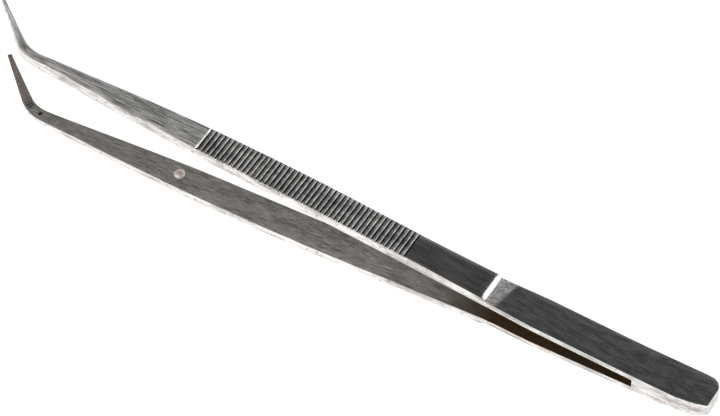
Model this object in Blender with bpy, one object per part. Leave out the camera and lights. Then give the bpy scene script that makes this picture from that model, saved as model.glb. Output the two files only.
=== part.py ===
"""Bent-tip spring tweezers: two steel arms joined at the tail, opened by their own spring.

Each arm is a flat blank.  From the tail it runs as a thin wide spring leaf, steps up at a
shoulder to the thicker ribbed grip, tapers, and ends in a tip bent sideways in the plane of
the blade.  A short distance s along an arm is always measured from the tail end.

Frame: the tweezers lie on the lower arm, on a level surface at z = 0.  The tail is at +X,
the tips at -X, the tips bend toward +Y, and the arms open along Z.  The origin is the
middle of the underside of the whole object's box.
"""

import math

import bmesh
import bpy
from mathutils import Matrix, Vector

MM = 0.001

# plan of one arm
ARM_LENGTH = 160.0          # mm along the centreline, tail end to tip
BEND_START = 142.5          # where the tip starts to turn sideways
BEND_RADIUS = 8.2
BEND_ANGLE = math.radians(39.6)

# half width of the inner face at each station, (s, mm)
HALF_WIDTH = (
    (0.0, 3.55), (12.0, 3.60), (34.0, 3.62), (45.0, 3.24), (60.0, 3.22), (80.0, 3.25),
    (105.0, 3.04), (118.0, 2.58), (128.0, 2.06), (136.0, 1.60), (146.0, 1.10), (160.0, 0.42),
)
TAIL_FAR_RADIUS = 2.4       # rounding of the tail's corner on the +Y side
TAIL_FAR_BULGE = 0.40       # extra half width there, fading out over its run
TAIL_FAR_RUN = 17.0
TAIL_NEAR_TRIM = 1.15       # how far the -Y corner is ground back
TAIL_NEAR_RUN = 6.0         # length of that ground run

# side view of one arm
TAIL_HALF_GAP = 0.50        # mid-plane to the inner face at the tail end
# slope of the inner face away from the mid-plane, (s, mm per mm), straight in between
SLOPE = (
    (0.0, 0.0325), (45.0, 0.0325), (45.2, 0.0795), (72.0, 0.0795),
    (98.0, 0.0435), (138.0, 0.0435), (160.0, -0.0450),
)
SHOULDER_LOW = 44.45        # foot of the shoulder, on the leaf side
SHOULDER_HIGH = 45.65       # top of the shoulder, on the grip side
# thickness of the blade, (s, mm)
THICKNESS = (
    (0.0, 1.10), (SHOULDER_LOW, 1.15), (SHOULDER_HIGH, 1.75), (60.5, 1.80),
    (82.0, 1.95), (138.0, 1.90), (150.0, 1.50), (160.0, 0.90),
)
# height of the upright side wall below the rounded edge, (s, mm)
SIDE_WALL = (
    (0.0, 1.04), (SHOULDER_LOW, 1.09), (SHOULDER_HIGH, 1.60), (60.5, 1.05),
    (138.0, 1.00), (150.0, 0.60), (160.0, 0.30),
)
# how far the rounded edge comes in over the outer face, (s, mm)
EDGE_INSET = (
    (0.0, 0.06), (SHOULDER_LOW, 0.06), (SHOULDER_HIGH, 0.12), (60.5, 0.45),
    (128.0, 0.50), (138.0, 0.55), (150.0, 0.62), (160.0, 0.30),
)
# how much lower the outer face is beside its rounded edge than along its middle, (s, mm)
CROWN = (
    (0.0, 0.10), (3.2, 0.0), (60.5, 0.0), (66.0, 0.20), (138.0, 0.20), (160.0, 0.0),
)
CROWN_FLAT = 0.12           # half width of the strip left flat along the middle

# ribs on the grip
RIBS_START = 61.2
RIB_PITCH = 0.982
RIB_COUNT = 46
RIB_DEPTH = 0.22

# pieces and joints
SPACER_LENGTH = 14.1
HINGE_S = 27.0              # the leaf bends about this station
HINGE_GAP = 0.30            # slit between the fixed leaf and the moving arm
SEAM = 0.12                 # clearance between pieces that are fixed together
STUD_S = 112.0
STUD_RADIUS = 1.08
STUD_HEIGHT = 0.90
STUD_SHANK_RADIUS = 0.62
STUD_ROUNDING = ((0.0, 0.22), (0.12, 0.07), (0.50, 0.0))   # in from the side, down from the top
PIN_S = 143.5
PIN_RADIUS = 0.22
PIN_LENGTH = 1.40           # how far the guide pin stands below the upper arm
PIN_POINT = (0.08, 0.10)    # chamfer on the pin's end, across and along
PIN_SOCKET_RADIUS = 0.36
HOLE_CLEARANCE = 0.10


def table(rows, s):
    """Straight-line reading of a station table."""
    for (s0, v0), (s1, v1) in zip(rows, rows[1:]):
        if s <= s1:
            return v0 + (v1 - v0) * (s - s0) / (s1 - s0)
    return rows[-1][1]


def smooth(rows, s):
    """Cubic reading of a station table that never overshoots its rows."""
    steps = [(b[1] - a[1]) / (b[0] - a[0]) for a, b in zip(rows, rows[1:])]
    tangents = [steps[0]]
    for left, right in zip(steps, steps[1:]):
        same_way = left * right > 0.0
        tangents.append(2.0 * left * right / (left + right) if same_way else 0.0)
    tangents.append(steps[-1])
    for i in range(len(steps)):
        (s0, v0), (s1, v1) = rows[i], rows[i + 1]
        if s <= s1 or i == len(steps) - 1:
            h = s1 - s0
            t = (s - s0) / h
            rise = tangents[i] * h * t * (1 - t) ** 2 - tangents[i + 1] * h * t * t * (1 - t)
            return v0 + (v1 - v0) * t * t * (3 - 2 * t) + rise


def half_gap(s):
    """Mid-plane to the inner face: the slope table summed up from the tail."""
    total = TAIL_HALF_GAP
    for (s0, m0), (s1, m1) in zip(SLOPE, SLOPE[1:]):
        if s <= s0:
            break
        end = min(s, s1)
        m_end = m0 + (m1 - m0) * (end - s0) / (s1 - s0)
        total += (end - s0) * (m0 + m_end) / 2
    return total


def centre(s):
    """Centreline in plan: position (x, y) and the direction across the blade."""
    turn = min(max((s - BEND_START) / BEND_RADIUS, 0.0), BEND_ANGLE)
    run = max(s - BEND_START - BEND_RADIUS * BEND_ANGLE, 0.0)
    x = min(s, BEND_START) + BEND_RADIUS * math.sin(turn) + run * math.cos(turn)
    y = BEND_RADIUS * (1 - math.cos(turn)) + run * math.sin(turn)
    return -x, y, math.sin(turn), math.cos(turn)


def edges(s):
    """Distance from the centreline to the near (-Y) and far (+Y) edges."""
    width = smooth(HALF_WIDTH, s)
    near = width - TAIL_NEAR_TRIM * max(1 - s / TAIL_NEAR_RUN, 0.0) ** 2
    short = max(TAIL_FAR_RADIUS - s, 0.0)
    bulge = TAIL_FAR_BULGE * max(1 - s / TAIL_FAR_RUN, 0.0)
    far = width + bulge - (TAIL_FAR_RADIUS - math.sqrt(TAIL_FAR_RADIUS ** 2 - short ** 2))
    return near, far


def section(s, rib_drop, side):
    """Closed outline of the blade at s.  side is +1 for the upper arm, -1 for the lower."""
    x, y, nx, ny = centre(s)
    near, far = edges(s)
    thick = table(THICKNESS, s)
    wall = table(SIDE_WALL, s)
    inset = min(table(EDGE_INSET, s), 0.8 * near)
    low = thick - table(CROWN, s)
    rounding = []
    for angle in (0.0, 40.0, 90.0):
        bend = math.radians(angle)
        across = inset * (1 - math.cos(bend))
        rounding.append((across, min(wall + (low - wall) * math.sin(bend), low - rib_drop)))
    outline = [(-near, 0.0), (far, 0.0)]
    outline += [(far - across, up) for across, up in rounding]
    outline += [(CROWN_FLAT, thick - rib_drop), (-CROWN_FLAT, thick - rib_drop)]
    outline += [(across - near, up) for across, up in reversed(rounding)]
    base = half_gap(s)
    return [Vector((x + nx * a, y + ny * a, side * (base + up))) * MM for a, up in outline]


def stations(start, end):
    """Stations of an arm between start and end, with how far each lies below the rib tops."""
    plain = [0.0, 0.25, 0.8, 1.7, 3.2, 6.0, 12.0, 20.0, 28.0, 34.0, 38.0, 41.5]
    plain += [SHOULDER_LOW, SHOULDER_HIGH, 60.5]
    ribs_end = RIBS_START + RIB_COUNT * RIB_PITCH
    plain += [ribs_end + 0.6 + 4.0 * i for i in range(9)]
    plain += [BEND_START + 1.42 * i for i in range(5)]
    plain += [151.0, 154.0, 157.0, ARM_LENGTH]
    found = [(s, 0.0) for s in plain]
    for i in range(RIB_COUNT):
        found.append((RIBS_START + RIB_PITCH * i, 0.0))
        found.append((RIBS_START + RIB_PITCH * (i + 0.5), RIB_DEPTH))
    found.append((ribs_end, 0.0))
    inside = [row for row in sorted(found) if start + 0.2 < row[0] < end - 0.2]
    return [(start, 0.0)] + inside + [(end, 0.0)]


def loft(sections, flip):
    """One closed body through a row of matching outlines."""
    bm = bmesh.new()
    rings = [[bm.verts.new(point) for point in ring] for ring in sections]
    count = len(rings[0])
    for a, b in zip(rings, rings[1:]):
        for i in range(count):
            j = (i + 1) % count
            bm.faces.new((a[i], a[j], b[j], b[i]))
    bm.faces.new(rings[0][::-1])
    bm.faces.new(rings[-1])
    if flip:
        bmesh.ops.reverse_faces(bm, faces=bm.faces[:])
    return bm


def material(name, color, roughness, metallic):
    made = bpy.data.materials.new(name)
    made.use_nodes = True
    shader = made.node_tree.nodes["Principled BSDF"]
    shader.inputs["Base Color"].default_value = (*color, 1.0)
    shader.inputs["Roughness"].default_value = roughness
    shader.inputs["Metallic"].default_value = metallic
    return made


def add_object(name, bm, origin, parent, finish):
    """Object with its origin at the given point of the tweezers' own frame."""
    bmesh.ops.translate(bm, verts=bm.verts[:], vec=-origin)
    mesh = bpy.data.meshes.new(name)
    bm.to_mesh(mesh)
    bm.free()
    mesh.shade_smooth()
    mesh.set_sharp_from_angle(angle=math.radians(25))
    made = bpy.data.objects.new(name, mesh)
    bpy.context.scene.collection.objects.link(made)
    made.parent = parent
    made.location = origin
    made.data.materials.append(finish)
    return made


def blade(name, start, end, side, origin, parent, finish):
    sections = [section(s, drop, side) for s, drop in stations(start, end)]
    return add_object(name, loft(sections, side > 0), origin, parent, finish)


def turned(profile, sides=20):
    """Round solid about Z from (radius, height) points that run from bottom to top."""
    bm = bmesh.new()
    rings = []
    for radius, height in profile:
        ring = []
        for i in range(sides):
            angle = math.tau * i / sides
            ring.append((radius * math.cos(angle), radius * math.sin(angle), height))
        rings.append([bm.verts.new(Vector(point) * MM) for point in ring])
    for a, b in zip(rings, rings[1:]):
        for i in range(sides):
            j = (i + 1) % sides
            bm.faces.new((a[i], a[j], b[j], b[i]))
    bm.faces.new(rings[0][::-1])
    bm.faces.new(rings[-1])
    return bm


def seat(s, side):
    """Frame standing on the inner face at s, with +Z out of that face."""
    x, y, _, _ = centre(s)
    step = 0.5
    lean = (half_gap(s + step) - half_gap(s - step)) / (2 * step)
    spot = Matrix.Translation(Vector((x, y, side * half_gap(s))) * MM)
    turn = Matrix.Rotation(side * math.atan(lean), 4, "Y")
    over = Matrix.Rotation(math.pi, 4, "X") if side > 0 else Matrix.Identity(4)
    return spot @ turn @ over


def add_seated(name, profile, s, side, origin, parent, finish):
    bm = turned(profile)
    bmesh.ops.transform(bm, matrix=seat(s, side), verts=bm.verts[:])
    return add_object(name, bm, origin, parent, finish)


def drill(target, name, radius, s, side, origin, parent, finish):
    """Round hole square to the inner face, right through the blade."""
    reach = 2 * table(THICKNESS, s)
    cutter = add_seated(name, ((radius, -reach), (radius, reach)), s, side, origin, parent, finish)
    cutter.hide_render = True
    cutter.display_type = "WIRE"
    cut = target.modifiers.new(name, "BOOLEAN")
    cut.operation = "DIFFERENCE"
    cut.object = cutter
    cut.solver = "EXACT"


def hinge_point(side):
    """Middle of the leaf's thickness where it bends."""
    return Vector((-HINGE_S, 0.0, side * (half_gap(HINGE_S) + table(THICKNESS, HINGE_S) / 2))) * MM


def spacer_sections():
    """Outlines of the block that fills the tail between the two leaves."""
    rows = [s for s, _ in stations(0.0, SPACER_LENGTH)]
    sections = []
    for s in rows:
        near, far = edges(s)
        top = half_gap(s) - SEAM
        outline = ((-near, -top), (far, -top), (far, top), (-near, top))
        sections.append([Vector((-s, a, up)) * MM for a, up in outline])
    return sections


def rest_tilt():
    """Lean that brings both the tail end and the lower arm's belly down to one plane."""
    def outer(s):
        return half_gap(s) + table(THICKNESS, s)
    rows = [s for s, drop in stations(0.0, ARM_LENGTH) if s > 1.0 and drop == 0.0]
    return math.atan(max((outer(s) - outer(0.0)) / s for s in rows))


def put_down(root):
    """Move the whole tweezers until the box's underside is centred on the origin."""
    bpy.context.view_layer.update()
    points = []
    for made in bpy.context.scene.objects:
        if made.type == "MESH" and not made.hide_render:
            points += [made.matrix_world @ v.co for v in made.data.vertices]
    low = Vector([min(p[i] for p in points) for i in range(3)])
    high = Vector([max(p[i] for p in points) for i in range(3)])
    root.location -= Vector(((low.x + high.x) / 2, (low.y + high.y) / 2, low.z))


def main():
    for old in list(bpy.data.objects):
        bpy.data.objects.remove(old, do_unlink=True)

    steel = material("brushed_steel", (0.37, 0.36, 0.35), 0.34, 1.0)
    leaf_steel = material("leaf_steel", (0.33, 0.325, 0.32), 0.30, 1.0)
    ground = material("ground_steel", (0.56, 0.54, 0.52), 0.42, 1.0)
    polished = material("polished_steel", (0.62, 0.59, 0.57), 0.16, 1.0)

    root = bpy.data.objects.new("tweezers", None)
    bpy.context.scene.collection.objects.link(root)
    root.rotation_euler = (0.0, rest_tilt(), 0.0)

    add_object("tail_spacer", loft(spacer_sections(), True), Vector(), root, ground)
    for label, side in (("upper", 1.0), ("lower", -1.0)):
        axis = hinge_point(side)
        blade(label + "_tail_leaf", 0.0, HINGE_S - HINGE_GAP / 2, side, Vector(), root, leaf_steel)
        arm = blade(label + "_arm", HINGE_S + HINGE_GAP / 2, ARM_LENGTH, side, axis, root, steel)
        if side < 0:
            foot = -(table(THICKNESS, STUD_S) - SEAM)
            profile = [(STUD_SHANK_RADIUS, foot), (STUD_SHANK_RADIUS, SEAM), (STUD_RADIUS, SEAM)]
            profile += [(STUD_RADIUS - across, STUD_HEIGHT - down) for across, down in STUD_ROUNDING]
            add_seated("stop_stud", profile, STUD_S, side, axis, root, polished)
            drill(arm, "stud_hole", STUD_SHANK_RADIUS + HOLE_CLEARANCE, STUD_S, side, axis, root,
                  steel)
            drill(arm, "pin_socket", PIN_SOCKET_RADIUS, PIN_S, side, axis, root, steel)
        else:
            foot = -(table(THICKNESS, PIN_S) - SEAM)
            across, along = PIN_POINT
            profile = (
                (PIN_RADIUS, foot), (PIN_RADIUS, PIN_LENGTH - along), (PIN_RADIUS - across, PIN_LENGTH),
            )
            add_seated("guide_pin", profile, PIN_S, side, axis, root, polished)
            drill(arm, "pin_hole", PIN_RADIUS + HOLE_CLEARANCE, PIN_S, side, axis, root, steel)

    put_down(root)


main()
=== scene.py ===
import math
import time
import bpy
import bmesh
from mathutils import Matrix, Vector


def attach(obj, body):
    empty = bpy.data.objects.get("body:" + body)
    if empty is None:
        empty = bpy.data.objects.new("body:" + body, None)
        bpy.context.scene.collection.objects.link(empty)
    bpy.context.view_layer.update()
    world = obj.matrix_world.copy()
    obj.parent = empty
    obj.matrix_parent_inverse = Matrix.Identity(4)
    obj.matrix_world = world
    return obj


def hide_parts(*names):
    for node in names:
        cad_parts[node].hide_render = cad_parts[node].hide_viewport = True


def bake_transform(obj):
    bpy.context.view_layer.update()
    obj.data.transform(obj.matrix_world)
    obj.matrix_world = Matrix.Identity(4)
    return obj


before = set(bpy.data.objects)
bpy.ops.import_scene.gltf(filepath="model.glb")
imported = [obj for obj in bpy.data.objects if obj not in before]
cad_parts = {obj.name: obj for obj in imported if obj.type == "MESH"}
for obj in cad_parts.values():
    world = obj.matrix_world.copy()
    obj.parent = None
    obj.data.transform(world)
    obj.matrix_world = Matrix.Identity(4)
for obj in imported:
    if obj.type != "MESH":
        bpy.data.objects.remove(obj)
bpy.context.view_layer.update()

clock = time.time()

# The tweezers are shaped in millimetres, straight and flat, then bent along a path and shrunk
# into place. On a straight blade x runs from the tail to the tip, +y is the side nearer the
# viewer, and z = 0 is the middle between the arms.


def say(text):
    print(f"{time.time() - clock:6.1f} s  {text}")


def table(rows, s):  # straight lines between the rows
    for (s0, v0), (s1, v1) in zip(rows, rows[1:]):
        if s <= s1:
            return v0 + (v1 - v0) * (s - s0) / (s1 - s0)
    return rows[-1][1]


def smoothTable(rows, s):  # a cubic through the rows that never overshoots
    steps = [(b[1] - a[1]) / (b[0] - a[0]) for a, b in zip(rows, rows[1:])]
    inner = [2 * a * b / (a + b) if a * b > 0 else 0 for a, b in zip(steps, steps[1:])]
    lean = [steps[0]] + inner + [steps[-1]]
    i = max(k for k in range(len(steps)) if s >= rows[k][0] or k == 0)
    (s0, v0), (s1, v1) = rows[i], rows[i + 1]
    t = (s - s0) / (s1 - s0)
    bulge = (s1 - s0) * t * (1 - t) * (lean[i] * (1 - t) - lean[i + 1] * t)
    return v0 + (v1 - v0) * t * t * (3 - 2 * t) + bulge


blade = {
    "length": 160.0,
    "bendStart": 142.5, "bendRadius": 8.2, "bendAngle": math.radians(39.6),  # sideways turn of the tip
    "tailGap": .50,  # middle to inner face at the tail
    # slope of the inner face away from the middle
    "slope": ((0, .0325), (45, .0325), (45.2, .0795), (72, .0795), (98, .0435), (138, .0435), (160, -.045)),
    "halfWidth": ((0, 3.55), (12, 3.6), (34, 3.62), (45, 3.24), (60, 3.22), (80, 3.25), (105, 3.04),
                  (118, 2.58), (128, 2.06), (136, 1.6), (146, 1.1), (160, .42)),
    "thickness": ((0, 1.10), (44.45, 1.15), (45.65, 1.75), (60.5, 1.8), (82, 1.95), (138, 1.9),
                  (150, 1.5), (160, .9)),
    # the rounded outer edge: height where it starts, and how far in it reaches
    "sideWall": ((0, 1.02), (44.45, 1.07), (45.65, 1.6), (60.5, 1.05), (138, 1.0), (150, .6), (160, .3)),
    "edgeInset": ((0, .08), (44.45, .08), (45.65, .12), (60.5, .45), (122, .5), (134, .78),
                  (150, .80), (160, .3)),
    "insetLimit": .8,  # share of the half width
    "crown": ((0, 0), (106, 0), (116, .03), (138, .12), (160, .10)),  # the front is slightly rounded outside
    "ridge": .62, "ridgeCrown": .35,  # row beside the middle: its place on the flat, its share of the crown
    "innerBevel": .045, "tailBevel": .05,
    "shoulder": (44.45, 45.65),
    "flex": (14.3, 44.4),  # the stretch where the real leaf flexes; the arms are not bent over it here
    "lean": math.radians(3.61523),  # lies on its belly and its tail
    "place": (.0785927, -.0030639, .0015968),
}
tail = {
    "farRadius": 2.4, "farBulge": .52, "farRun": 17.0,  # far corner rounded, with a slight swelling after it
    "nearTrim": 1.40, "nearRun": 7.5,  # near corner ground back
    "spacerLength": 14.4,
    "stops": (0, .12, .35, .8, 1.7, 3.2, 6, 10),  # cuts that carry the corners
}


def halfGap(s):  # middle to inner face
    total = blade["tailGap"]
    for (s0, m0), (s1, m1) in zip(blade["slope"], blade["slope"][1:]):
        if s > s0:
            end = min(s, s1)
            total += (end - s0) * (m0 + m0 + (m1 - m0) * (end - s0) / (s1 - s0)) / 2
    return total


def outerFace(s):  # middle to outer face
    return halfGap(s) + table(blade["thickness"], s)


def centreLine(s):
    turn = min(max((s - blade["bendStart"]) / blade["bendRadius"], 0), blade["bendAngle"])
    run = max(s - blade["bendStart"] - blade["bendRadius"] * blade["bendAngle"], 0)
    x = min(s, blade["bendStart"]) + blade["bendRadius"] * math.sin(turn) + run * math.cos(turn)
    y = blade["bendRadius"] * (1 - math.cos(turn)) + run * math.sin(turn)
    return -x, y


def bladeEdges(s):  # near and far half widths
    width = smoothTable(blade["halfWidth"], s)
    near = width - tail["nearTrim"] * max(1 - s / tail["nearRun"], 0) ** 2
    short = max(tail["farRadius"] - s, 0)
    bulge = tail["farBulge"] * max(1 - s / tail["farRun"], 0)
    return near, width + bulge - tail["farRadius"] + math.sqrt(tail["farRadius"] ** 2 - short ** 2)


def linear(code):
    parts = [int(code[i:i + 2], 16) / 255 for i in (1, 3, 5)]
    return (*[c / 12.92 if c <= .04045 else ((c + .055) / 1.055) ** 2.4 for c in parts], 1)


def addNode(tree, kind, settings, links):
    made = tree.nodes.new(kind)
    for name, value in settings.items():
        setattr(made, name, value)
    for name, value in links.items():
        if isinstance(value, bpy.types.NodeSocket):
            tree.links.new(value, made.inputs[name])
        else:
            made.inputs[name].default_value = value
    return made


def makeActive(piece):
    if bpy.context.object and bpy.context.object.mode != "OBJECT":
        bpy.ops.object.mode_set(mode="OBJECT")
    bpy.ops.object.select_all(action="DESELECT")
    piece.select_set(True)
    bpy.context.view_layer.objects.active = piece


def startEdit(piece, kind="VERT"):
    makeActive(piece)
    bpy.ops.object.mode_set(mode="EDIT")
    bpy.ops.mesh.select_mode(type=kind)
    bpy.ops.mesh.select_all(action="DESELECT")


def pick(piece, test, kind="verts"):  # selects by place, or by edge or face
    bm = bmesh.from_edit_mesh(piece.data)
    for part in (*bm.verts, *bm.edges, *bm.faces):
        part.select = False
    for part in getattr(bm, kind):
        if test(part.co if kind == "verts" else part):
            part.select_set(True)
    bm.select_flush_mode()
    bmesh.update_edit_mesh(piece.data, loop_triangles=False, destructive=False)


def pickIndices(piece, chosen):
    bm = bmesh.from_edit_mesh(piece.data)
    for v in bm.verts:
        v.select = v.index in chosen
    bm.select_flush_mode()
    bmesh.update_edit_mesh(piece.data, loop_triangles=False, destructive=False)


def standsAt(co, s):  # a corner on the cut at s
    return abs(co.x - s) < .01


def cutAcross(places, axis):
    normal = [0, 0, 0]
    normal[axis] = 1
    for place in places:
        spot = [0, 0, 0]
        spot[axis] = place
        bpy.ops.mesh.select_all(action="SELECT")
        bpy.ops.mesh.bisect(plane_co=spot, plane_no=normal, threshold=1e-5)


def applyAll(piece):
    makeActive(piece)
    for modifier in list(piece.modifiers):
        bpy.ops.object.modifier_apply(modifier=modifier.name)


def smoothBelow(piece, degrees):  # edges sharper than this stay crisp
    makeActive(piece)
    bpy.ops.object.shade_smooth_by_angle(angle=math.radians(degrees))


def copyPiece(piece, name):
    made = piece.copy()
    made.data = piece.data.copy()
    made.name = made.data.name = name
    bpy.context.scene.collection.objects.link(made)
    return made


def straightBlade():
    rowsAcross = (1.0, .95, .88, .80, .52, 0)  # edge to middle, the first four round the edge
    low, high = blade["shoulder"]
    stations = [*tail["stops"], 15, 19, 23, 27, 31, 35, 38, 41, 43, low, 44.75, 45.35, high, 47.5, 50, 54, 60.5,
                66, 72, 77, 82, 88, 94, 100, 106.4, 108, 112, 116, 120, 124, 128, 132, 136, 139, 141]
    stations += [blade["bendStart"] + .81 * i for i in range(8)] + [150, 152, 154, 156, 158, 159, blade["length"]]
    bpy.ops.mesh.primitive_cube_add(size=1, location=(blade["length"] / 2, 0, .5), scale=(blade["length"], 2, 1))
    bar = bpy.context.object
    bar.name = bar.data.name = "upper_arm_skin"
    bpy.ops.object.transform_apply(location=True, rotation=True, scale=True)
    startEdit(bar)
    cutAcross([r * side for r in rowsAcross[1:-1] for side in (1, -1)] + [0], 1)
    cutAcross(stations[1:-1], 0)
    bm = bmesh.from_edit_mesh(bar.data)
    rows = {}
    for v in bm.verts:
        s = min(range(len(stations)), key=lambda k: abs(stations[k] - v.co.x))
        row = "inner" if v.co.z < .5 else min(range(6), key=lambda k: abs(rowsAcross[k] - abs(v.co.y)))
        rows.setdefault((s, row), []).append(v.index)
    for (k, row), members in rows.items():
        s = stations[k]
        width, thick = smoothTable(blade["halfWidth"], s), table(blade["thickness"], s)
        wall, crown = table(blade["sideWall"], s), smoothTable(blade["crown"], s)
        inset = min(table(blade["edgeInset"], s), blade["insetLimit"] * width)
        if row == "inner":
            scale = (1, width, 1)
        elif row < 4:  # a quarter turn in three steps
            angle = math.radians(30 * row)
            out = width - inset * (1 - math.cos(angle))
            scale = (1, out / rowsAcross[row], wall + (thick - crown - wall) * math.sin(angle))
        elif row == 4:
            scale = (1, (width - inset) * blade["ridge"] / rowsAcross[4], thick - crown * blade["ridgeCrown"])
        else:
            scale = (1, 1, thick)
        pickIndices(bar, set(members))
        bpy.ops.transform.resize(value=scale, center_override=(s, 0, 0))
    for s in [s for s in stations if s < tail["farRun"]]:  # ground corners of the tail
        width = smoothTable(blade["halfWidth"], s)
        for side, edge in zip((1, -1), bladeEdges(s)):
            pick(bar, lambda co: standsAt(co, s) and co.y * side > .01)
            bpy.ops.transform.resize(value=(1, edge / width, 1), center_override=(s, 0, 0))
    bpy.ops.object.mode_set(mode="OBJECT")
    return bar


def openArm(bar):  # lifts the blade off the middle of the tweezers along its length
    startEdit(bar)
    for s in sorted({round(v.co.x, 4) for v in bar.data.vertices}):
        pick(bar, lambda co: abs(co.x - s) < 1e-3)
        bpy.ops.transform.translate(value=(0, 0, halfGap(s)))
    bpy.ops.object.mode_set(mode="OBJECT")


def softenEdges(bar):
    sharp = 1  # radians between the faces
    startEdit(bar, "EDGE")
    pick(bar, lambda e: e.calc_face_angle(0) > sharp and min(v.co.x for v in e.verts) > tail["spacerLength"]
         and all(v.co.z < halfGap(v.co.x) + 1e-3 for v in e.verts), "edges")
    bpy.ops.mesh.bevel(offset=blade["innerBevel"], segments=2, affect="EDGES")
    # then the outer rim of the tail end
    pick(bar, lambda e: e.calc_face_angle(0) > sharp
         and all(v.co.x < 1e-4 and v.co.z > 1 for v in e.verts), "edges")
    bpy.ops.mesh.bevel(offset=blade["tailBevel"], segments=2, affect="EDGES")
    bpy.ops.object.mode_set(mode="OBJECT")


ribs = {
    "start": 61.2, "pitch": .982, "count": 46, "depth": .25,
    # one groove: distance from its middle towards the tip, share of the depth
    "profile": ((-.22, 0), (-.14, .55), (-.08, 1), (.06, 1), (.14, .5), (.30, .12), (.36, .30), (.42, 0)),
    "lastKeeps": .1, "lastSlope": ((.20, .95), (.48, 0)), "slopeRun": .28,  # the last groove ends in a slope, made bright with step polish as a painted highlight
    "farLand": .40,  # left uncut along the far edge
    "nearMargin": .02, "nearShare": .72,  # the grooves get shallower over the rounded near edge
    # painted shade lies this near a groove's middle, below this share of its depth, and off the edge
    "shadeReach": .15, "shadeDepth": .6, "shadeInset": .5,
}
ribsEnd = ribs["start"] + ribs["pitch"] * ribs["count"]


def cutRibs(bar):
    lines = []
    for i in range(ribs["count"]):
        middle = ribs["start"] + ribs["pitch"] * (i + .5)
        profile = ribs["profile"]
        if i == ribs["count"] - 1:
            profile = [p for p in profile if p[0] < ribs["lastKeeps"]] + list(ribs["lastSlope"])
        lines += [(middle + off, drop * ribs["depth"]) for off, drop in profile]
    startEdit(bar)
    cutAcross([x for x, _ in lines], 0)
    for x, drop in lines:
        top, width = outerFace(x), smoothTable(blade["halfWidth"], x)
        land = width - (ribs["farLand"] if x < ribsEnd - ribs["pitch"] / 2 else 0)
        crest = width - table(blade["edgeInset"], x) + ribs["nearMargin"]
        for deep, part in ((drop, lambda co: -land < co.y < crest),
                           (drop * ribs["nearShare"], lambda co: co.y >= crest)):
            pick(bar, lambda co: standsAt(co, x) and co.z > top - deep + 1e-5 and part(co))
            bpy.ops.transform.resize(value=(1, 1, 0), center_override=(x, 0, top - deep))
    bpy.ops.object.mode_set(mode="OBJECT")


teeth = {"start": 147.8, "end": 159.6, "pitch": .47, "depth": .12,
         "flank": .3,  # share of the pitch
         "fade": 4, "firstShare": .1}  # they fade in behind the tip


def cutTeeth(bar):
    count = int((teeth["end"] - teeth["start"]) / teeth["pitch"])
    middles = [teeth["start"] + teeth["pitch"] * i for i in range(count)]
    startEdit(bar)
    cutAcross([x + teeth["pitch"] * off for x in middles for off in (-teeth["flank"], 0, teeth["flank"])], 0)
    for x in middles:
        pick(bar, lambda co: standsAt(co, x) and co.z < halfGap(x) + .06)
        deep = teeth["depth"] * min((x - teeth["start"]) / teeth["fade"] + teeth["firstShare"], 1)
        bpy.ops.transform.resize(value=(1, 1, 0), center_override=(x, 0, halfGap(x) + deep))
    bpy.ops.object.mode_set(mode="OBJECT")


def keepFlatPlace(piece, fromFace=False):  # place on the straight blade in millimetres, read by the steels
    makeActive(piece)
    bpy.ops.geometry.attribute_add(name="flat", domain="POINT", data_type="FLOAT_VECTOR")
    spots = []
    for v in piece.data.vertices:
        spots += (v.co.x, v.co.y, abs(v.co.z) - halfGap(v.co.x) if fromFace else v.co.z)
    piece.data.attributes["flat"].data.foreach_set("vector", spots)


def bendTip(pieces):
    start = blade["bendStart"]
    stops = [0, 40, 80, 120, 140, start] + [start + .2 * i for i in range(1, 29)] + [149, 152, 156, 160, 166]
    bpy.ops.curve.primitive_nurbs_path_add()
    path = bpy.context.object
    path.name = "blade_path"
    path.data.splines.clear()
    spline = path.data.splines.new("POLY")
    spline.points.add(len(stops) - 1)
    for point, s in zip(spline.points, stops):
        point.co = (*centreLine(s), 0, 1)
    path.data.dimensions = "3D"
    path.data.twist_mode = "Z_UP"
    for piece in pieces:
        bend = piece.modifiers.new("bend", "CURVE")
        bend.object = path
        bend.deform_axis = "POS_X"
        applyAll(piece)
    makeActive(path)
    bpy.ops.object.delete()


def putDown(piece):  # from millimetres to metres, leant over and set on the floor
    makeActive(piece)
    piece.scale = (.001, .001, .001)
    piece.rotation_euler = (0, blade["lean"], 0)
    piece.location = blade["place"]
    bpy.ops.object.transform_apply(location=True, rotation=True, scale=True)


def newSteel(name):
    made = bpy.data.materials.new(name)
    made.use_nodes = True
    made.node_tree.nodes.clear()
    return made, made.node_tree


def bladePlace(tree, stretch):  # place on the straight blade, in pattern lengths
    place = addNode(tree, "ShaderNodeAttribute", {"attribute_name": "flat"}, {})
    return addNode(tree, "ShaderNodeMapping", {}, {"Vector": place.outputs["Vector"], "Scale": stretch}).outputs[0]


def finishSteel(tree, colour, roughness, height, strength, distance):
    bump = addNode(tree, "ShaderNodeBump", {}, {"Height": height, "Strength": strength, "Distance": distance})
    surface = addNode(tree, "ShaderNodeBsdfPrincipled", {}, {
        "Base Color": colour, "Metallic": 1.0, "Roughness": roughness, "Normal": bump.outputs[0]})
    addNode(tree, "ShaderNodeOutputMaterial", {}, {"Surface": surface.outputs[0]})


# Marks left by working on an inner face, and painted shade. A dark brown painted shade lies where the arms close in
# towards the tail, fading along the arm, and the torch leaves a stain on the tip. The jig leaves three small dents
# where it held the bend.
wearAndGapShade = {"gapShade": "#473627", "gapShadeStart": 42, "gapShadeEnd": 62,
        "stain": "#9d8e89", "stainStart": 147.5, "stainEnd": 150.5, "stainMost": 1.3,
        "dent": "#2a2624", "dentPlace": (146.6, .12, 0), "dentSize": (1.3, .85, 9)}


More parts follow.
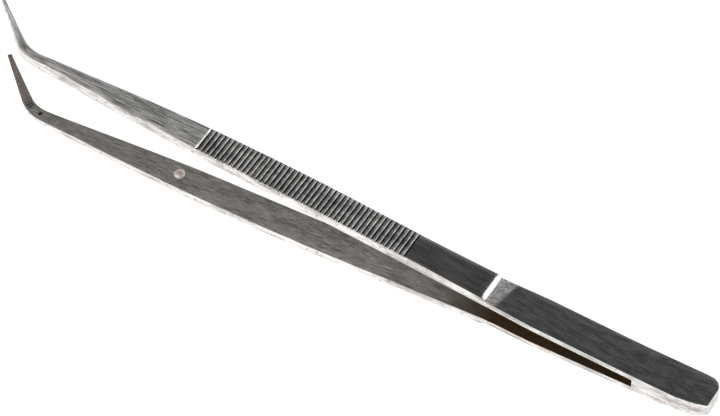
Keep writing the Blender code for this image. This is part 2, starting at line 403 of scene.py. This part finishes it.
def addWearAndGapShade(tree, tint):
    place = addNode(tree, "ShaderNodeAttribute", {"attribute_name": "flat"}, {})
    along = addNode(tree, "ShaderNodeSeparateXYZ", {}, {"Vector": place.outputs["Vector"]}).outputs[0]
    # painted shade: dark brown towards the tail, where the arms close in on each other
    fade = addNode(tree, "ShaderNodeMapRange", {"interpolation_type": "SMOOTHSTEP"}, {
        "Value": along, "From Min": wearAndGapShade["gapShadeStart"], "From Max": wearAndGapShade["gapShadeEnd"]})
    tint = addNode(tree, "ShaderNodeMix", {"data_type": "RGBA"}, {
        0: fade.outputs[0], 6: linear(wearAndGapShade["gapShade"]), 7: tint.outputs[2]})
    rubbed = addNode(tree, "ShaderNodeTexNoise", {}, {
        "Vector": place.outputs["Vector"], "Scale": 3.2, "Detail": 2.0})
    tip = addNode(tree, "ShaderNodeMapRange", {}, {
        "Value": along, "From Min": wearAndGapShade["stainStart"], "From Max": wearAndGapShade["stainEnd"], "To Max": wearAndGapShade["stainMost"]})
    stain = addNode(tree, "ShaderNodeMath", {"operation": "MULTIPLY", "use_clamp": True}, {
        0: rubbed.outputs[0], 1: tip.outputs[0]})
    tint = addNode(tree, "ShaderNodeMix", {"data_type": "RGBA"}, {
        0: stain.outputs[0], 6: tint.outputs[2], 7: linear(wearAndGapShade["stain"])})
    spot = addNode(tree, "ShaderNodeMapping", {"vector_type": "TEXTURE"}, {
        "Vector": place.outputs["Vector"], "Location": wearAndGapShade["dentPlace"], "Scale": wearAndGapShade["dentSize"]})
    off = addNode(tree, "ShaderNodeVectorMath", {"operation": "LENGTH"}, {0: spot.outputs[0]}).outputs["Value"]
    lines = addNode(tree, "ShaderNodeTexWave", {"wave_profile": "SIN"}, {
        "Vector": bladePlace(tree, (.42, .18, 0)), "Scale": 1.2, "Distortion": 3.0, "Detail": 1.0,
        "Detail Scale": 3.0})
    mark = addNode(tree, "ShaderNodeMath", {"operation": "SUBTRACT"}, {0: lines.outputs["Fac"], 1: off})
    dent = addNode(tree, "ShaderNodeMapRange", {}, {"Value": mark.outputs[0], "From Min": 0, "From Max": .25})
    return addNode(tree, "ShaderNodeMix", {"data_type": "RGBA"}, {
        0: dent.outputs[0], 6: tint.outputs[2], 7: linear(wearAndGapShade["dent"])})


# Stroke lengths and widths are in millimetres. Real strokes are a few hundredths wide, too fine
# to show, so they are drawn several times coarser.
def brushedSteel(name, finish):
    steel, tree = newSteel(name)
    long, wide, share = finish["strokeLength"], finish["strokeWidth"], finish["cloudShare"]
    strokes = addNode(tree, "ShaderNodeTexNoise", {}, {
        "Vector": bladePlace(tree, (1 / long, 1 / wide, 1 / wide)), "Scale": 1.0, "Detail": 3.0, "Roughness": .65})
    clouds = addNode(tree, "ShaderNodeTexNoise", {}, {
        "Vector": bladePlace(tree, (.12, .5, .5)), "Scale": 1.0, "Detail": 2.0})
    both = addNode(tree, "ShaderNodeMath", {"operation": "MULTIPLY_ADD"}, {
        0: clouds.outputs[0], 1: share, 2: strokes.outputs[0]})
    rough = addNode(tree, "ShaderNodeMapRange", {}, {
        "Value": both.outputs[0], "From Min": .35, "From Max": .65 + share,
        "To Min": finish["roughness"][0], "To Max": finish["roughness"][1]})
    shade = addNode(tree, "ShaderNodeMapRange", {}, {
        "Value": both.outputs[0], "From Min": .35 + share * .4, "From Max": .65 + share * .6})
    tint = addNode(tree, "ShaderNodeMix", {"data_type": "RGBA"}, {
        0: shade.outputs[0], 6: linear(finish["dark"]), 7: linear(finish["light"])})
    if "specks" in finish:  # small tarnished spots, a few to a square centimetre
        spots = addNode(tree, "ShaderNodeTexNoise", {}, {
            "Vector": bladePlace(tree, (1, 1, 1)), "Scale": 1.1, "Detail": 2.0})
        spotted = addNode(tree, "ShaderNodeMapRange", {}, {
            "Value": spots.outputs[0], "From Min": .59, "From Max": .76})
        tint = addNode(tree, "ShaderNodeMix", {"data_type": "RGBA"}, {
            0: spotted.outputs[0], 6: tint.outputs[2], 7: linear(finish["specks"])})
    if finish.get("wornAndGapShaded"):
        tint = addWearAndGapShade(tree, tint)
    finishSteel(tree, tint.outputs[2], rough.outputs[0], strokes.outputs[0],
                finish["bump"], finish.get("relief", .0001))
    return steel


# stainless steel finished along its length on an abrasive belt: soft streaks several millimetres long
frontSatin = brushedSteel("satin_front", {
    "strokeLength": 4.5, "strokeWidth": .22, "cloudShare": .4, "roughness": (.28, .56),
    "dark": "#6e6c6a", "light": "#f2f0ee", "bump": 1.0, "relief": .00022})
# inner faces, belted before the arms were welded: the same streaks, a little duller and warmer, with painted shade
# towards the tail
innerSatin = brushedSteel("satin_inside", {
    "strokeLength": 2.6, "strokeWidth": .17, "cloudShare": .35, "roughness": (.30, .52),
    "dark": "#64615e", "light": "#bfbbb7", "bump": 1.0, "relief": .0002, "wornAndGapShaded": True})
# rolled and lightly buffed strip, left smooth: mirrors the room darkly with a faint cloudiness
buffed = brushedSteel("buffed_strip", {
    "strokeLength": 5, "strokeWidth": .35, "cloudShare": .8, "roughness": (.20, .36),
    "dark": "#b4b3b2", "light": "#d4d3d2", "bump": .03})
# crests and flanks of the rolled ribs, rubbed by fingers: brighter than the grooves, cloudy across
ribSteel = brushedSteel("rib_steel", {
    "strokeLength": .3, "strokeWidth": .8, "cloudShare": .6, "roughness": (.30, .50),
    "dark": "#868482", "light": "#eeecea", "bump": .3})
# floor of the rib grooves and walls of the drilled holes: painted shade, nearly black and dull
grooveShadeSteel = brushedSteel("groove_shade_steel", {
    "strokeLength": .6, "strokeWidth": .3, "cloudShare": .5, "roughness": (.45, .6),
    "dark": "#161514", "light": "#34322f", "bump": .1})
# edges ground by hand on a wheel after welding: bright, blotchy, with short facets
groundEdge = brushedSteel("ground_edge", {
    "strokeLength": 2.6, "strokeWidth": .30, "cloudShare": .9, "roughness": (.22, .5),
    "dark": "#a09b97", "light": "#f9f6f3", "specks": "#a08a84", "bump": .8, "relief": .00009})
# the step was struck and polished: one even bright band; the same bright polish on the last rib slope is a painted
# highlight
stepAndGlintSteel = brushedSteel("step_polish_and_glint", {
    "strokeLength": 2, "strokeWidth": .3, "cloudShare": .4, "roughness": (.18, .26),
    "dark": "#dcd9d6", "light": "#f0eeec", "bump": .03})
# turned and polished pin steel, worn by the other arm: pale and matt
studSteel = brushedSteel("stud_polish", {
    "strokeLength": 1, "strokeWidth": 1, "cloudShare": .6, "roughness": (.52, .62),
    "dark": "#d8cbc6", "light": "#f4ebe7", "bump": .03})

# rolled and buffed leaf, blasted for a few millimetres at the foot of the step: a grey grainy patch
leaf = {"patchStart": 42.1, "patchEnd": 43.1, "patchSlant": -.17, "patchRoughness": .62,
        "patchDark": "#b0aeac", "patchLight": "#fbfaf9",
        "stripDark": "#bebdbc", "stripLight": "#dad9d8", "stripRoughness": (.22, .34), "bump": .4}


def blastedLeaf():
    steel, tree = newSteel("leaf_strip")
    place = addNode(tree, "ShaderNodeAttribute", {"attribute_name": "flat"}, {})
    axes = addNode(tree, "ShaderNodeSeparateXYZ", {}, {"Vector": place.outputs["Vector"]})
    grain = addNode(tree, "ShaderNodeTexNoise", {}, {
        "Vector": place.outputs["Vector"], "Scale": 1.1, "Detail": 3.0})
    ragged = addNode(tree, "ShaderNodeMath", {}, {0: grain.outputs[0], 1: axes.outputs[0]})
    slanted = addNode(tree, "ShaderNodeMath", {"operation": "MULTIPLY_ADD"}, {
        0: axes.outputs[1], 1: leaf["patchSlant"], 2: ragged.outputs[0]})
    patch = addNode(tree, "ShaderNodeMapRange", {"interpolation_type": "SMOOTHSTEP"}, {
        "Value": slanted.outputs[0], "From Min": leaf["patchStart"], "From Max": leaf["patchEnd"]})
    streaks = addNode(tree, "ShaderNodeTexNoise", {}, {
        "Vector": bladePlace(tree, (.35, 1.6, 1.6)), "Scale": 1.0, "Detail": 4.0, "Roughness": .6})
    rough = addNode(tree, "ShaderNodeMapRange", {}, {
        "Value": streaks.outputs[0], "From Min": .35, "From Max": .65,
        "To Min": leaf["stripRoughness"][0], "To Max": leaf["stripRoughness"][1]})
    rougher = addNode(tree, "ShaderNodeMix", {"data_type": "FLOAT"}, {
        0: patch.outputs[0], 2: rough.outputs[0], 3: leaf["patchRoughness"]})
    specks = addNode(tree, "ShaderNodeTexNoise", {}, {
        "Vector": place.outputs["Vector"], "Scale": 2.4, "Detail": 3.0})
    speckle = addNode(tree, "ShaderNodeMapRange", {}, {
        "Value": specks.outputs[0], "From Min": .35, "From Max": .65})
    greys = addNode(tree, "ShaderNodeMix", {"data_type": "RGBA"}, {
        0: speckle.outputs[0], 6: linear(leaf["patchDark"]), 7: linear(leaf["patchLight"])})
    strip = addNode(tree, "ShaderNodeMix", {"data_type": "RGBA"}, {
        0: streaks.outputs[0], 6: linear(leaf["stripDark"]), 7: linear(leaf["stripLight"])})
    tint = addNode(tree, "ShaderNodeMix", {"data_type": "RGBA"}, {
        0: patch.outputs[0], 6: strip.outputs[2], 7: greys.outputs[2]})
    pits = addNode(tree, "ShaderNodeMath", {"operation": "MULTIPLY"}, {0: specks.outputs[0], 1: patch.outputs[0]})
    finishSteel(tree, tint.outputs[2], rougher.outputs[0], pits.outputs[0], leaf["bump"], .0001)
    return steel


leafSteel = blastedLeaf()


def paint(piece, steel, test):
    if steel.name not in piece.data.materials:
        piece.data.materials.append(steel)
    startEdit(piece, "FACE")
    pick(piece, test, "faces")
    piece.active_material_index = piece.data.materials.find(steel.name)
    bpy.ops.object.material_slot_assign()
    bpy.ops.object.mode_set(mode="OBJECT")


def paintBlade(bar):
    low, high = blade["shoulder"]
    bar.data.materials.append(groundEdge)
    paint(bar, innerSatin, lambda f: f.normal.z < -.5)
    # steel, how squarely a face must look out, and the stretch it covers
    for steel, least, start, end in (
            (frontSatin, .8, ribsEnd, blade["length"]),
            (ribSteel, .4, ribs["start"], ribsEnd),
            # painted highlight: the last rib slope in the bright step polish
            (stepAndGlintSteel, .4, ribsEnd - ribs["slopeRun"], ribsEnd),
            (buffed, .8, high, ribs["start"]),
            (stepAndGlintSteel, .5, low, high),
            (leafSteel, .5, 0, low + .3)):
        paint(bar, steel, lambda f: f.normal.z > least and start < f.calc_center_median().x < end)

    def inGroove(f):
        x, y, z = f.calc_center_median()
        off = abs((x - ribs["start"]) % ribs["pitch"] - ribs["pitch"] / 2)
        deep = z < outerFace(x) - ribs["depth"] * ribs["shadeDepth"]
        inside = y < smoothTable(blade["halfWidth"], x) - table(blade["edgeInset"], x) * ribs["shadeInset"]
        grooved = ribs["start"] < x < ribsEnd - ribs["slopeRun"]
        return grooved and off < ribs["shadeReach"] and deep and inside and f.normal.z > .1
    # painted shade on the groove floors
    paint(bar, grooveShadeSteel, inGroove)


upperSkin = straightBlade()
openArm(upperSkin)
softenEdges(upperSkin)
say("straight blade shaped")
cutRibs(upperSkin)
say("ribs cut")
cutTeeth(upperSkin)
say(f"tip teeth cut, {len(upperSkin.data.polygons)} faces")
paintBlade(upperSkin)
say("steels laid on the blade")
lowerSkin = copyPiece(upperSkin, "lower_arm_skin")
startEdit(lowerSkin)
bpy.ops.mesh.select_all(action="SELECT")
bpy.ops.transform.resize(value=(1, 1, -1), center_override=(0, 0, 0))
bpy.ops.mesh.normals_make_consistent(inside=False)
bpy.ops.object.mode_set(mode="OBJECT")

# "s" is the place along the blade
stud = {"s": 112.0, "radius": 1.08, "height": .90, "dome": .42, "domeTurn": .9,
        "shank": .62, "chamfer": .08, "seat": .02}
pin = {"s": 143.5, "radius": .22, "below": 1.40, "nose": .12, "socket": .38, "mark": .42}


def drill(piece, s, radius):
    through = 6
    bpy.ops.mesh.primitive_cylinder_add(vertices=24, radius=radius, depth=through, location=(s, 0, -halfGap(s) - 1))
    cutter = bpy.context.object
    # the hole walls take the painted shade of the grooves
    cutter.data.materials.append(grooveShadeSteel)
    cut = piece.modifiers.new("hole", "BOOLEAN")
    cut.object = cutter
    cut.solver = "EXACT"
    applyAll(piece)
    makeActive(cutter)
    bpy.ops.object.delete()


drill(lowerSkin, pin["s"], pin["socket"])
drill(lowerSkin, stud["s"], stud["shank"] + stud["seat"])
for skin in (upperSkin, lowerSkin):
    keepFlatPlace(skin, True)
bendTip([upperSkin, lowerSkin])
for skin in (upperSkin, lowerSkin):
    putDown(skin)
    smoothBelow(skin, 32)
say("both arms bent and set down")

for skin, arm in ((upperSkin, "upper"), (lowerSkin, "lower")):
    for s in blade["flex"]:
        spot = Vector((-s, 0, 0)) * .001
        spot.rotate(Matrix.Rotation(blade["lean"], 3, "Y"))
    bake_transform(skin)
    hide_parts(f"{arm}_tail_leaf", f"{arm}_arm")

# the spacer is welded between the two leaves and ground over with them
length = tail["spacerLength"]
stops = [*tail["stops"], 12, length]
bpy.ops.mesh.primitive_cube_add(size=1, location=(length / 2, 0, 0), scale=(length, 2, 2))
spacer = bpy.context.object
spacer.name = spacer.data.name = "tail_spacer_block"
bpy.ops.object.transform_apply(location=True, rotation=True, scale=True)
startEdit(spacer)
cutAcross([0], 1)
cutAcross(stops[1:-1], 0)
for s in stops:
    for side, edge in zip((1, -1), bladeEdges(s)):
        pick(spacer, lambda co: standsAt(co, s) and co.y * side > .01)
        bpy.ops.transform.resize(value=(1, edge, 1), center_override=(s, 0, 0))
    pick(spacer, lambda co: standsAt(co, s))
    bpy.ops.transform.resize(value=(1, 1, halfGap(s)), center_override=(s, 0, 0))
bpy.ops.mesh.select_all(action="SELECT")
bpy.ops.transform.resize(value=(-1, -1, 1), center_override=(0, 0, 0))
bpy.ops.object.mode_set(mode="OBJECT")
keepFlatPlace(spacer)
spacer.data.materials.append(groundEdge)
putDown(spacer)
smoothBelow(spacer, 32)
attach(spacer, "tail")
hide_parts("tail_spacer")
say("spacer in place")


# profile: radius and height above the lower arm's inner face, spun round
def turned(name, profile, s, steel):
    bpy.ops.mesh.primitive_plane_add(size=1)
    made = bpy.context.object
    made.name = made.data.name = name
    startEdit(made)
    bpy.ops.mesh.select_all(action="SELECT")
    bpy.ops.mesh.delete(type="VERT")
    bm = bmesh.from_edit_mesh(made.data)
    points = [bm.verts.new((radius, 0, height)) for radius, height in profile]
    for lower, upper in zip(points, points[1:]):
        bm.edges.new((lower, upper))
    bmesh.update_edit_mesh(made.data)
    bpy.ops.mesh.select_all(action="SELECT")
    bpy.ops.mesh.spin(steps=40, angle=math.tau, center=(0, 0, 0), axis=(0, 0, 1))
    bpy.ops.mesh.select_all(action="SELECT")
    bpy.ops.mesh.remove_doubles(threshold=1e-4)
    bpy.ops.mesh.normals_make_consistent(inside=False)
    keepFlatPlace(made)
    startEdit(made)
    bpy.ops.mesh.select_all(action="SELECT")
    bpy.ops.transform.translate(value=(-s, 0, -halfGap(s)))
    bpy.ops.object.mode_set(mode="OBJECT")
    made.data.materials.append(steel)
    putDown(made)
    smoothBelow(made, 35)
    return made


# riveted through the lower arm, with a domed head
radius, shank, chamfer, seat = stud["radius"], stud["shank"], stud["chamfer"], -stud["seat"]
under = -table(blade["thickness"], stud["s"]) + .01
rim, dome, flat = stud["height"] - stud["dome"], stud["dome"], math.cos(stud["domeTurn"])
domed = [(radius * math.sin(turn * .1) / math.sin(stud["domeTurn"]),
          rim + dome * (math.cos(turn * .1) - flat) / (1 - flat)) for turn in range(8, 0, -1)]
studPiece = turned("stop_stud_turned", [
    (0, under), (shank - chamfer, under), (shank, under + chamfer), (shank, seat), (radius - .05, seat),
    (radius, .05), (radius, rim), *domed, (0, stud["height"])], stud["s"], studSteel)
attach(studPiece, "lower_arm")
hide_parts("stop_stud")

# pressed through the upper arm, with a shallow peened mark outside
thin, mark = pin["radius"], pin["mark"]
gap = 2 * halfGap(pin["s"])
foot, outside = gap - pin["below"], gap + table(blade["thickness"], pin["s"])
pinPiece = turned("guide_pin_turned", [
    (0, foot), (thin * .6, foot), (thin, foot + pin["nose"]), (thin, gap + .2), (thin, outside - .05),
    (mark * .8, outside - .13), (mark * .7, outside - .09), (0, outside - .07)], pin["s"], studSteel)
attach(pinPiece, "upper_arm")
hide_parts("guide_pin")
say("stud and pin in place")

studio = {
    "azimuth": 31.14, "elevation": 50.82, "roll": .20, "lens": 201.27, "distance": .7354,
    "across": .00203, "up": .00461, "aim": -.075,
    "floor": "#e8e8e8", "floorGlow": .76,
    "roomDark": .06, "roomBright": .85, "roomHeights": (.70, .25),  # dark overhead, bright low down
    # name, direction, distance, size, radiance
    "softboxes": (("softbox_step_side", (.575, .541, .616), 1.2, (.5, .4), 1.7),
                  ("softbox_front_left", (-.30, -.56, .77), 1.3, (1.4, 1.2), 1.5)),
}

# a sheet of opal acrylic lit from below: even and almost white, with hardly a shadow
bpy.ops.mesh.primitive_plane_add(size=4, location=(0, 0, 0))
floor = bpy.context.object
floor.name = floor.data.name = "floor"
acrylic = bpy.data.materials.new("lit_white_acrylic")
acrylic.use_nodes = True
tree = acrylic.node_tree
tree.nodes.clear()
surface = addNode(tree, "ShaderNodeBsdfPrincipled", {}, {
    "Base Color": linear(studio["floor"]), "Roughness": .6,
    "Emission Color": linear("#ffffff"), "Emission Strength": studio["floorGlow"]})
addNode(tree, "ShaderNodeOutputMaterial", {}, {"Surface": surface.outputs[0]})
floor.data.materials.append(acrylic)

world = bpy.data.worlds.new("studio")
bpy.context.scene.world = world
world.use_nodes = True
tree = world.node_tree
tree.nodes.clear()
sky = addNode(tree, "ShaderNodeTexCoord", {}, {})
height = addNode(tree, "ShaderNodeSeparateXYZ", {}, {"Vector": sky.outputs["Generated"]}).outputs["Z"]
glow = addNode(tree, "ShaderNodeMapRange", {"interpolation_type": "SMOOTHSTEP"}, {
    "Value": height, "From Min": studio["roomHeights"][0], "From Max": studio["roomHeights"][1],
    "To Min": studio["roomDark"], "To Max": studio["roomBright"]})
air = addNode(tree, "ShaderNodeBackground", {}, {"Color": glow.outputs[0], "Strength": 1})
addNode(tree, "ShaderNodeOutputWorld", {}, {"Surface": air.outputs[0]})


def softbox(name, towards, distance, size, radiance):
    direction = Vector(towards).normalized()
    bpy.ops.object.light_add(type="AREA", location=direction * distance)
    lamp = bpy.context.object
    lamp.name = lamp.data.name = name
    lamp.rotation_euler = direction.to_track_quat("Z", "Y").to_euler()
    lamp.data.shape = "RECTANGLE"
    lamp.data.size, lamp.data.size_y = size
    lamp.data.energy = radiance * math.pi * size[0] * size[1]


for settings in studio["softboxes"]:
    softbox(*settings)
say("floor, room and softboxes set")

azimuth, elevation = math.radians(studio["azimuth"]), math.radians(studio["elevation"])
level = math.cos(elevation)
right = Vector((math.cos(azimuth), math.sin(azimuth), 0))
ahead = Vector((-math.sin(azimuth) * level, math.cos(azimuth) * level, -math.sin(elevation)))
above = right.cross(ahead)
spin = Matrix.Rotation(math.radians(studio["roll"]), 3, ahead)
lean = Matrix.Rotation(blade["lean"], 3, "Y")
offset = (Vector((studio["aim"], 0, 0)) - ahead * studio["distance"]
          + right * studio["across"] + above * studio["up"])
aim = lean @ spin @ Matrix((right, above, -ahead)).transposed()
camera = bpy.data.objects.new("camera", bpy.data.cameras.new("camera"))
bpy.context.scene.collection.objects.link(camera)
camera.data.lens = studio["lens"]
camera.data.sensor_width = 36
camera.data.clip_start = .01
camera.matrix_world = Matrix.Translation(Vector(blade["place"]) + lean @ offset) @ aim.to_4x4()
bpy.context.scene.camera = camera
bpy.context.scene.view_settings.view_transform = "Standard"

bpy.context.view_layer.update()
say("scene ready")
